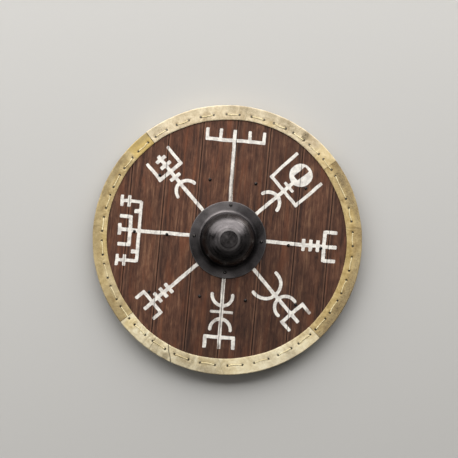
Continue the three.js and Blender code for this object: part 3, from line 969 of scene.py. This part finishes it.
def stain_and_shade_layers(at, degrees, front, number, first, last):
    """The stain and painted shade attributes of one strip of hide, which runs from the first angle to the
    last.
    """
    radius = polar(at)[1]
    layers = {name: np.zeros(len(at)) for name, _, _ in STAIN_AND_SHADE_TONES}

    def lay(name, amount):
        layers[name] = np.clip(np.maximum(layers[name], amount), 0, 1)

    ragged = 0.4 * noise(at, 0.011, 33, 3)
    for name, stains in STAINS.items():
        for angle, middle, half_angle, half_width, strength, softness in stains:
            if first < (angle if angle > first else angle + 360) < last:
                off = off_angle(degrees, angle) / half_angle
                far = np.hypot(off, (radius / MM - middle) / half_width) + ragged * softness
                amount = smooth_step(1 + softness, 1 - softness, far)
                lay(name, strength * amount * front)
    # Painted shade in the creases and the lace holes, and painted shadow beside the lace and at the
    # strip's ends
    for crease in CREASES:
        lay("painted_shade", crease[4] * bell(off_crease(degrees, radius, crease)))
    lay("painted_shade", smooth_step(3.5 * MM, 2.7 * MM, near_hole(at)))
    lace_shadow = smooth_step(2.4 * MM, 1.4 * MM, lace_distance(degrees, radius, front))
    lay("painted_shade", 0.08 * (1 + 0.8 * noise(at, 0.03, 34)) * lace_shadow)
    for seam in (first, last):
        lay("painted_shade", 0.5 * smooth_step(0.3, 0.08, np.abs(off_angle(degrees, seam))))
    edge = smooth_step(SHIELD_RADIUS - 22 * MM, SHIELD_RADIUS - 9 * MM, radius)
    paler = "bleach" if number in (2, 4) else "grey"
    lay(paler, edge * np.clip(0.3 + 0.5 * noise(at, 0.05, 31, 2), 0, 0.6))
    return layers


HIDE_BEND = 2.6 * MM
HIDE_STEP = 1.9 * MM
SEAM_GAP = 0.06  # degrees
FRONT_POINTS, BEND_POINTS, SIDE_POINTS, BACK_POINTS = 24, 5, 7, 12
UP = np.array([0, 0, 1.0])


def hide_skin(degrees, inset):
    """One skin of the folded hide: for each angle a row of points from front edge to back edge."""
    outer, bend = SHIELD_RADIUS - inset, HIDE_BEND - inset
    front, back = HIDE_FRONT - inset, HIDE_BACK + inset
    count = len(degrees)
    inner = inner_edge(degrees)[:, None]
    front_r = inner + np.linspace(0, 1, FRONT_POINTS) * (outer - bend - inner)
    arc = np.linspace(0, math.pi / 2, BEND_POINTS + 2)[1:-1]
    turn_r = np.broadcast_to(outer - bend + bend * np.sin(arc), (count, BEND_POINTS))
    side_r = np.full((count, SIDE_POINTS), outer)
    back_r = outer - bend + np.linspace(0, 1, BACK_POINTS) * (back_edge(degrees) - outer + bend)[:, None]
    radius = np.concatenate([front_r, turn_r, side_r, turn_r[:, ::-1], back_r], axis=1)
    z = np.concatenate([
        np.full(FRONT_POINTS, front),
        front - bend + bend * np.cos(arc),
        np.linspace(front - bend, back + bend, SIDE_POINTS),
        back + bend - bend * np.sin(arc),
        np.full(BACK_POINTS, back),
    ])
    return radius[:, :, None] * outward(degrees)[:, None, :] + z[None, :, None] * UP


def build_hide(node, number, start, end, material, drill):
    count = int(math.radians(end - start) * SHIELD_RADIUS / HIDE_STEP)
    degrees = np.linspace(start + SEAM_GAP / 2, end - SEAM_GAP / 2, count)
    outer, inner = hide_skin(degrees, 0.0), hide_skin(degrees, HIDE_THICKNESS - 0.05 * MM)
    shape = outer.shape
    flat = outer.reshape(-1, 3)
    turn = np.repeat(degrees, shape[1])
    middle = (HIDE_FRONT + HIDE_BACK) / 2
    lift = hide_lift(flat, turn, flat[:, 2] > middle)

    # The free ends sit down a little, except that the pale strip laps proud at its first end
    lap = 1.0 if number == 4 else -0.2
    lift += lap * MM * bell(turn - start, 1.4) - 0.2 * MM * bell(turn - end)
    offset = outer - inner
    offset /= np.linalg.norm(offset, axis=2, keepdims=True)
    outer = (flat + offset.reshape(-1, 3) * lift[:, None]).reshape(shape)
    # Ease the cut edges
    for cut in (0, -1):
        outer[:, cut] -= offset[:, cut] * 0.7 * MM
    points = np.concatenate([outer, inner[:, ::-1]], axis=1).reshape(-1, 3)
    sides = 2 * shape[1]
    faces = np.concatenate([ring_faces(count, sides), folded_caps(count, sides)])
    piece = drilled(make_object(f"hide_{number}", points, faces), drill)

    at = points_of(piece)
    set_attributes(piece, **stain_and_shade_layers(at, polar(at)[0] % 360, at[:, 2] > middle, number, start, end))
    finish_piece(piece, [node], material, 50)


def lace_path():
    """The thong's middle line through all its holes, as rows of (angle, radius, z)."""
    front = HIDE_FRONT + LACE_THICKNESS * 0.35
    back = HIDE_BACK - LACE_THICKNESS * 0.5
    corner = 1.5 * MM
    step = math.degrees(corner / STITCH_RADIUS)
    ends = stitches().ravel()
    path = []
    for index, (first, last) in enumerate(zip(ends, np.append(ends[1:], ends[0] + 360))):
        if index % 2:
            level, side, bow, hump = back, -1, BACK_SLACK, 0.0
        else:
            level, side, bow, hump = front, 1, -FRONT_SLACK[index // 2], FRONT_HUMP[index // 2]
        bend = [
            (step * (1 - math.cos(angle)), level - side * corner * (1 - math.sin(angle)))
            for angle in np.linspace(0, math.pi / 2, 5)
        ]
        path += [(first + along, STITCH_RADIUS, z) for along, z in bend]
        for share in np.linspace(0, 1, 14)[1:-1]:
            wave = math.sin(math.pi * share)
            angle = first + step + share * (last - first - 2 * step)
            path.append((angle, STITCH_RADIUS + bow * wave, level + hump * wave - 0.2 * MM * side))
        path += [(last - along, STITCH_RADIUS, z) for along, z in bend[::-1]]
    return np.array(path)


def build_lace(material):
    """One thong through all the holes, with some slack on the front."""
    path = lace_path()
    way = outward(path[:, 0])
    points = way * path[:, 1:2] + path[:, 2:3] * UP
    tangent = np.roll(points, -1, axis=0) - np.roll(points, 1, axis=0)
    tangent /= np.linalg.norm(tangent, axis=1, keepdims=True)
    across = way - tangent * np.einsum("ij,ij->i", way, tangent)[:, None]
    across /= np.linalg.norm(across, axis=1, keepdims=True)
    face = np.cross(tangent, across)
    sides = 10
    turn = np.arange(sides) * 2 * math.pi / sides
    width = LACE_WIDTH / 2 * (0.86 + 0.12 * noise(points, 0.008, 51, 2))
    thick = LACE_THICKNESS / 2 * (0.8 + 0.12 * noise(points, 0.008, 52, 2))
    ring = (
        points[:, None, :]
        + (width[:, None] * squared(np.cos(turn), 0.75))[:, :, None] * across[:, None, :]
        + (thick[:, None] * squared(np.sin(turn), 0.75))[:, :, None] * face[:, None, :]
    )
    piece = make_object("stitching", ring.reshape(-1, 3), ring_faces(len(path), sides, looped=True))
    z = points_of(piece)[:, 2]
    # Painted shade on the thong where it goes down into the holes
    sunk = smooth_step(HIDE_FRONT + 0.2 * MM, HIDE_FRONT - 0.8 * MM, z)
    sunk *= smooth_step(HIDE_BACK - 0.2 * MM, HIDE_BACK + 0.8 * MM, z)
    set_attributes(piece, sunk=sunk)
    finish_piece(piece, ["lace"], material, 60)


# Turned pieces


def turned(profile, steps):
    """Points and faces of a (radius, z) profile turned about Z. It starts and ends on the axis."""
    profile = np.asarray(profile, float)
    angle = np.arange(steps) * 2 * math.pi / steps
    radius, z = profile[1:-1, 0], np.repeat(profile[1:-1, 1:], steps, 1)
    rings = np.stack([np.outer(radius, np.cos(angle)), np.outer(radius, np.sin(angle)), z], axis=2)
    points = np.concatenate([rings.reshape(-1, 3), [[0, 0, profile[0, 1]], [0, 0, profile[-1, 1]]]])
    faces = ring_faces(len(radius), steps).tolist()
    bottom, top, last = len(points) - 2, len(points) - 1, (len(radius) - 1) * steps
    for step in range(steps):
        after = (step + 1) % steps
        faces += [[bottom, after, step], [top, last + step, last + after]]
    return points, faces


BOSS_STEPS, NAIL_STEPS = 144, 20
BOSS_SHEET = 2.0 * MM
BOSS_NECK = 76 * MM
BOSS_NECK_HEIGHT = 0.5 * MM
BOSS_FILLET = 9.5 * MM
BEVEL_OUTER, BEVEL_INNER, BEVEL_RISE = 32 * MM, 24 * MM, 3 * MM
DISC_FALL = 1.0 * MM


def boss_face(height, inset):
    """One face of the sheet as (radius, z) from flange to top, z from the flange's underside."""
    points = []
    corner, cove = BOSS_SHEET + BOSS_FILLET, BOSS_FILLET + inset
    for angle in np.linspace(0, math.pi / 2, 9):
        points.append((BOSS_NECK + BOSS_FILLET - cove * math.sin(angle), corner - cove * math.cos(angle)))
    base = corner + BOSS_NECK_HEIGHT
    dome = (height - BEVEL_RISE - base) / math.sqrt(1 - (BEVEL_OUTER / BOSS_NECK) ** 2)
    across, up = BOSS_NECK - inset, dome - inset
    edge, inner = BEVEL_OUTER - inset / 2, BEVEL_INNER - inset / 2
    for angle in np.linspace(0, math.acos(edge / across), 40):
        points.append((across * math.cos(angle), base + up * math.sin(angle)))
    top, edge_z = height - inset, points[-1][1]
    for share in (0.12, 0.35, 0.65, 0.88):
        points.append((edge + (inner - edge) * share, edge_z + (top - DISC_FALL - edge_z) * share))
    disc = [inner - 0.2 * MM, inner - 1.2 * MM] + [inner * share for share in (0.9, 0.8, 0.65, 0.4, 0)]
    return points + [(radius, top - DISC_FALL * (radius / inner) ** 2) for radius in disc]


# Where the flange is paler, as rubbed blacking and as painted light: (angle, spread, amount)
FLANGE_RUBS_AND_LIGHT = ((-24, 40, 0.53), (-85, 20, 0.22), (176, 24, 0.36), (135, 20, 0.1))
# Painted shade on the dome, and painted highlight where below 0: (angle, spread, amount, radius where it
# starts)
DOME_PAINTED_SHADE = (
    (185, 75, 0.3, 32 * MM),
    (-90, 34, 0.22, 32 * MM),
    (90, 34, 0.12, 32 * MM),
    (-38, 30, 0.22, 50 * MM),
    (32, 18, -0.25, 48 * MM),
)
# Painted shadow at the foot of the dome, on its lower side
FOOT_SHADOW = 0.26


def boss_layers(at):
    """The boss's attributes: its tone with painted shade and light, its rubbed edges and painted light on
    the bevel ring, the turned streaks and the duller flange.
    """
    angle, radius = polar(at)
    ring = smooth_step(BEVEL_INNER, BEVEL_INNER + 2 * MM, radius)
    ring *= smooth_step(BEVEL_OUTER + 1 * MM, BEVEL_OUTER - 2 * MM, radius)
    # Painted light on the bevel ring, strongest towards the upper right; the flange's rim is really
    # rubbed
    lit_ring = ring * (0.42 + 0.3 * np.cos(np.radians(angle) - 1.1))
    worn_and_lit = np.maximum(bell(radius - boss_high.x, 1.2 * MM), lit_ring)
    outside = smooth_step(75 * MM, 82 * MM, radius) * (at[:, 2] > boss_low.z + 1 * MM)
    # The flange's tone: rubbed blacking, and painted light strongest at the top left
    bare_and_lit = 0.14 * noise(at, 0.035, 65, 2) - 0.19
    for middle, spread, amount in FLANGE_RUBS_AND_LIGHT:
        bare_and_lit += amount * bell(off_angle(angle, middle), spread)
    # Painted shade and highlight on the dome
    painted_shading = np.zeros(len(at))
    for middle, spread, amount, start in DOME_PAINTED_SHADE:
        patch = amount * bell(off_angle(angle, middle), spread)
        painted_shading += patch * smooth_step(start, start + 14 * MM, radius)
    painted_shading *= 1 - outside
    # Painted shadow at the dome's foot, on its lower side
    low_side = 0.5 - 0.5 * np.cos(np.radians(angle + 15))
    painted_shading += FOOT_SHADOW * low_side * bell(radius - 83 * MM, 5 * MM)
    # A painted shade line round the edge of the top disc
    line = bell(radius - BEVEL_INNER + 0.6 * MM, 0.9 * MM)
    disc = smooth_step(BEVEL_INNER, BEVEL_INNER - 1 * MM, radius)
    way = 0.05 * outward(angle)
    swirl = noise(np.stack([radius, way[:, 0], way[:, 1]], axis=1), (0.0045, 0.035, 0.035), 66, 2)
    tone = 0.42 + 0.14 * swirl * (1 - outside) + outside * bare_and_lit - painted_shading
    # The bevel ring is paler as painted light, and the shade line round the disc darker
    tone += 0.12 * ring + 0.11 * disc - 0.22 * line
    # Its wear also carries the painted light on the bevel ring, and its tone the painted shade and light
    return {
        "wear": np.clip(worn_and_lit * (0.7 + 0.5 * noise(at, 0.01, 64)), 0, 1),
        "swirl": np.clip(0.5 + 0.5 * swirl, 0, 1),
        "tone": np.clip(tone, 0, 1),
        "flange": np.maximum(outside, 0.5 * ring),
    }


def build_boss(material, drill):
    height, flange = boss_high.z - boss_low.z, boss_high.x
    ease, corner = 0.7 * MM, 0.2 * MM
    rows = np.linspace(BOSS_NECK + BOSS_FILLET + 2 * MM, flange - ease, 12)
    under = [(radius, 0.0) for radius in rows]
    over = [(radius, BOSS_SHEET) for radius in rows[::-1]]
    rim = [(flange - corner, corner), (flange, ease)]
    rim += [(flange, BOSS_SHEET - ease), (flange - corner, BOSS_SHEET - corner)]
    outer, inner = boss_face(height, 0.0), boss_face(height, BOSS_SHEET)
    profile = [(radius, boss_low.z + z) for radius, z in inner[::-1] + under + rim + over + outer]
    points, faces = turned(profile, BOSS_STEPS)
    dent = 0.42 * MM * noise(points, 0.028, 61, 2) + 0.05 * MM * noise(points, 0.007, 62)
    way = points - boss_low.z * UP
    way /= np.maximum(np.linalg.norm(way, axis=1, keepdims=True), 1e-6)
    on_dome = smooth_step(82 * MM, 78 * MM, polar(points)[1])
    points = points + way * (dent * on_dome)[:, None]
    wave = 0.09 * MM * (1 + noise(points, 0.04, 63))
    points[:, 2] += wave * (1 - on_dome)
    piece = drilled(make_object("shield_boss", points, faces), drill)
    set_attributes(piece, **boss_layers(points_of(piece)))
    finish_piece(piece, ["boss"], material, 40)


# A nail's point and a rivet's peened end: (share of the radius, height in millimetres)
NAIL_POINT = ((0, 0), (0.5, 2.5), (1, 5))
RIVET_PEEN = ((0, 0), (0.5, 0.2), (0.85, 0.8), (1, 1.6), (0.97, 2.0))
SHANK_RADIUS, PEEN_RADIUS, HEAD_RISE, HEAD_EDGE = 1.75 * MM, 3.6 * MM, 2.5 * MM, 0.5 * MM


def build_nail(node, material, seed):
    """A hand-finished nail or rivet in the place of its node."""
    low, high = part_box(node)
    centre = (low + high) / 2
    head, seat = (high.y - low.y) / 2, high.z - HEAD_RISE
    if node.startswith("boss_rivet"):
        tail = [(PEEN_RADIUS * share, low.z + up * MM) for share, up in RIVET_PEEN]
        tail.append((SHANK_RADIUS, tail[-1][1]))
    else:
        tail = [(SHANK_RADIUS * share, low.z + up * MM) for share, up in NAIL_POINT]
    crown = [(head, seat), (head, seat + HEAD_EDGE)]
    for angle in np.radians(np.linspace(12, 82, 7)):
        up = HEAD_EDGE + (HEAD_RISE - HEAD_EDGE) * math.sin(angle)
        crown.append((head * math.cos(angle), seat + up))
    points, faces = turned(tail + [(SHANK_RADIUS, seat)] + crown + [(0, high.z)], NAIL_STEPS)
    on_head = points[:, 2] > seat - 0.1 * MM
    shifted = points + np.array([seed * 0.1, 0, 0])
    points[:, :2] *= 1 + 0.05 * (on_head * noise(shifted, 0.004, 81))[:, None]
    points[:, 2] -= on_head * 0.18 * MM * np.abs(noise(shifted, 0.0025, 82))
    points += np.array([centre.x, centre.y, 0])
    piece = make_object(f"iron_{node}", points, faces)

    at = points_of(piece)
    worn = smooth_step(0.46 * head, 0.2 * head, np.hypot(at[:, 0] - centre.x, at[:, 1] - centre.y))
    worn *= at[:, 2] > seat + 1.0 * MM
    set_attributes(piece, wear=worn * (0.9 if node.startswith("boss") else 0.35))
    finish_piece(piece, [node], material, 50)


# Battens and handle: bars along X


def bar(node, name, shape, material, grain_seed, drill):
    """A bar lofted along X. shape(x) gives (half width, low, high, corner roundness from 0 to 1)."""
    low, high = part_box(node)
    near_end = np.array([1, 2, 4]) * MM
    sides, steps = 28, 170
    stations = [np.linspace(low.x, high.x, steps), low.x + near_end, high.x - near_end]
    stations = np.unique(np.concatenate(stations))
    turn = (np.arange(sides) + 0.5) * 2 * math.pi / sides
    rings = []
    for x in stations:
        half, bottom, top, corner = shape(x)
        power = 0.22 + 0.55 * corner
        across = half * squared(np.cos(turn), power)
        z = (bottom + top) / 2 + (top - bottom) / 2 * squared(np.sin(turn), power)
        rings.append(np.stack([np.full(sides, x), across, z], axis=1))
    points = np.concatenate(rings)
    carved = 0.22 * MM * noise(points, (0.03, 0.012, 0.012), grain_seed, 2)
    points[:, 1] += (low.y + high.y) / 2 - np.sign(points[:, 1]) * np.abs(carved)
    faces = ring_faces(len(stations), sides).tolist()
    last = (len(stations) - 1) * sides
    faces += [list(range(sides))[::-1], list(range(last, last + sides))]
    piece = drilled(make_object(name, points, faces), drill)

    at = points_of(piece)
    grip = smooth_step(85 * MM, 50 * MM, np.abs(at[:, 0])) * (node == "handle")
    tips = smooth_step(high.x - 30 * MM, high.x, np.abs(at[:, 0]))
    set_attributes(piece, wear=np.maximum(grip, 0.6 * tips), board=np.full(len(at), float(grain_seed)))
    finish_piece(piece, [node], material, 35)


def batten_shape(node):
    low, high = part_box(node)
    tip, tip_depth = 18 * MM, 9 * MM

    def shape(x):
        out = max(0.0, (abs(x) - (high.x - tip)) / tip)
        return (high.y - low.y) / 2, low.z + (high.z - low.z - tip_depth) * out, high.z, 0.05

    return shape


def handle_shape():
    low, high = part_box("handle")
    grip_end, arm_start, tip, tip_depth = 56 * MM, 80 * MM, 18 * MM, 15 * MM
    arm_top = WOOD_BACK - 0.3 * MM

    def shape(x):
        far = abs(x)
        flare = float(smooth_step(grip_end, arm_start, far))
        along = max(0.0, (far - arm_start) / (high.x - tip - arm_start))
        half = 15.5 * MM + flare * 4.5 * MM - min(along, 1.0) * 5 * MM
        top = arm_top + float(smooth_step(grip_end + 12 * MM, grip_end, far)) * (high.z - arm_top)
        out = max(0.0, (far - (high.x - tip)) / tip)
        bottom = low.z + out * (high.z - low.z - tip_depth)
        return half - out * 4 * MM, bottom, top, 0.05 + 0.75 * (1 - flare)

    return shape


# Build everything


def build_shield():
    lace_holes = [(x, y, *LACE_HOLE, angle) for angle, (x, y, _) in zip(*hole_places())]
    nail_nodes = sorted(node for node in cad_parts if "nail" in node or "rivet" in node)
    nail_holes = []
    for node in nail_nodes:
        centre = sum(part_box(node), Vector()) / 2
        nail_holes.append((centre.x, centre.y, *NAIL_HOLE, 0))
    below, in_bar, above = HIDE_BACK - 2 * MM, 5.7 * MM, HIDE_FRONT + 4 * MM
    lace_drill = posts(lace_holes, below, above, 12)
    wood_drill = posts(lace_holes + nail_holes, below, above, 8)
    nail_drill = posts(nail_holes, below, above, 12)
    blind_drill = posts(nail_holes, in_bar, above, 8)

    boards = board_finish()
    for number, node in enumerate(BOARDS, 1):
        build_board(node, number, boards, wood_drill)
    for number, (node, tones) in enumerate(zip(HIDES, HIDE_TONES), 1):
        start, end = SEAM_ANGLES[number - 1], SEAM_ANGLES[number % len(HIDES)]
        end = end if end > start else end + 360
        build_hide(node, number, start, end, hide_finish(*tones), lace_drill)
    build_lace(lace_finish())
    build_boss(boss_finish(), nail_drill)
    iron = iron_finish()
    for seed, node in enumerate(nail_nodes):
        build_nail(node, iron, seed)
    battens = batten_finish()
    bar("handle", "handle_bar", handle_shape(), battens, 91, blind_drill)
    bar("batten_upper", "upper_bar", batten_shape("batten_upper"), battens, 92, blind_drill)
    bar("batten_lower", "lower_bar", batten_shape("batten_lower"), battens, 93, blind_drill)
    for drill in (lace_drill, wood_drill, nail_drill, blind_drill):
        bpy.data.objects.remove(drill)


# Floor, light and camera

FRAME_PIXELS = 458
SHIELD_CENTRE_PIXEL = (227.2, 239.4)
METRES_PER_PIXEL = 2.817 * MM
CAMERA_DISTANCE = 7.0
# In degrees: where the camera stands off the shield's axis, and how far round the stave is turned
CAMERA_LEFT, CAMERA_BELOW, SHIELD_TURN = 3.0, 1.5, 5.1
SENSOR_WIDTH = 36
FLOOR_HALF = 6.0
SKY_COLOUR, SKY_STRENGTH = (1.0, 0.98, 0.95, 1), 0.1


def build_stage():
    mesh = bpy.data.meshes.new("floor")
    corners = [(x * FLOOR_HALF, y * FLOOR_HALF, 0) for x, y in ((-1, -1), (1, -1), (1, 1), (-1, 1))]
    mesh.from_pydata(corners, [], [(0, 1, 2, 3)])
    mesh.materials.append(Finish("pale floor", 0.85).done(srgb(192, 190, 186)))
    floor = new_object("floor", mesh)


def aim(made, place, target, up):
    """Puts a light or camera at a place, looking at a target."""
    back = (Vector(place) - Vector(target)).normalized()
    right = Vector(up).cross(back).normalized()
    axes = Matrix((right, back.cross(right), back)).transposed()
    made.matrix_world = Matrix.Translation(place) @ axes.to_4x4()


def area_light(name, place, size, watts):
    """A rectangular light that looks at the middle of the shield."""
    data = bpy.data.lights.new(name, "AREA")
    data.shape = "RECTANGLE"
    data.size, data.size_y = size
    data.energy = watts
    aim(new_object(name, data), place, (0, 0, 0), (0, 0, 1))


def build_lights():
    area_light("sky_light", (-0.6, 4.3, 2.6), (15.0, 5.2), 1060)
    area_light("side_light", (-3.2, -0.8, 2.6), (2.0, 2.0), 15)
    world = bpy.data.worlds.new("studio")
    bpy.context.scene.world = world
    world.use_nodes = True
    background = world.node_tree.nodes["Background"]
    background.inputs["Color"].default_value = SKY_COLOUR
    background.inputs["Strength"].default_value = SKY_STRENGTH
    bpy.context.scene.view_settings.view_transform = "Standard"


def build_camera():
    data = bpy.data.cameras.new("camera")
    data.sensor_width = SENSOR_WIDTH
    data.lens = SENSOR_WIDTH * CAMERA_DISTANCE / (FRAME_PIXELS * METRES_PER_PIXEL)
    camera = new_object("camera", data)
    left, below, turn = (math.radians(angle) for angle in (CAMERA_LEFT, CAMERA_BELOW, SHIELD_TURN))
    away = Vector((-math.sin(left), -math.sin(below), math.cos(left) * math.cos(below)))
    right = Vector((-math.sin(turn), math.cos(turn), 0)).cross(away).normalized()
    up = away.cross(right).normalized()
    off_x, off_y = (METRES_PER_PIXEL * (pixel - (FRAME_PIXELS - 1) / 2) for pixel in SHIELD_CENTRE_PIXEL)
    target = Vector((0, 0, WOOD_FRONT)) - right * off_x + up * off_y
    aim(camera, target + away * CAMERA_DISTANCE, target, up)
    bpy.context.scene.camera = camera


build_camera()
build_lights()
build_stage()
build_shield()
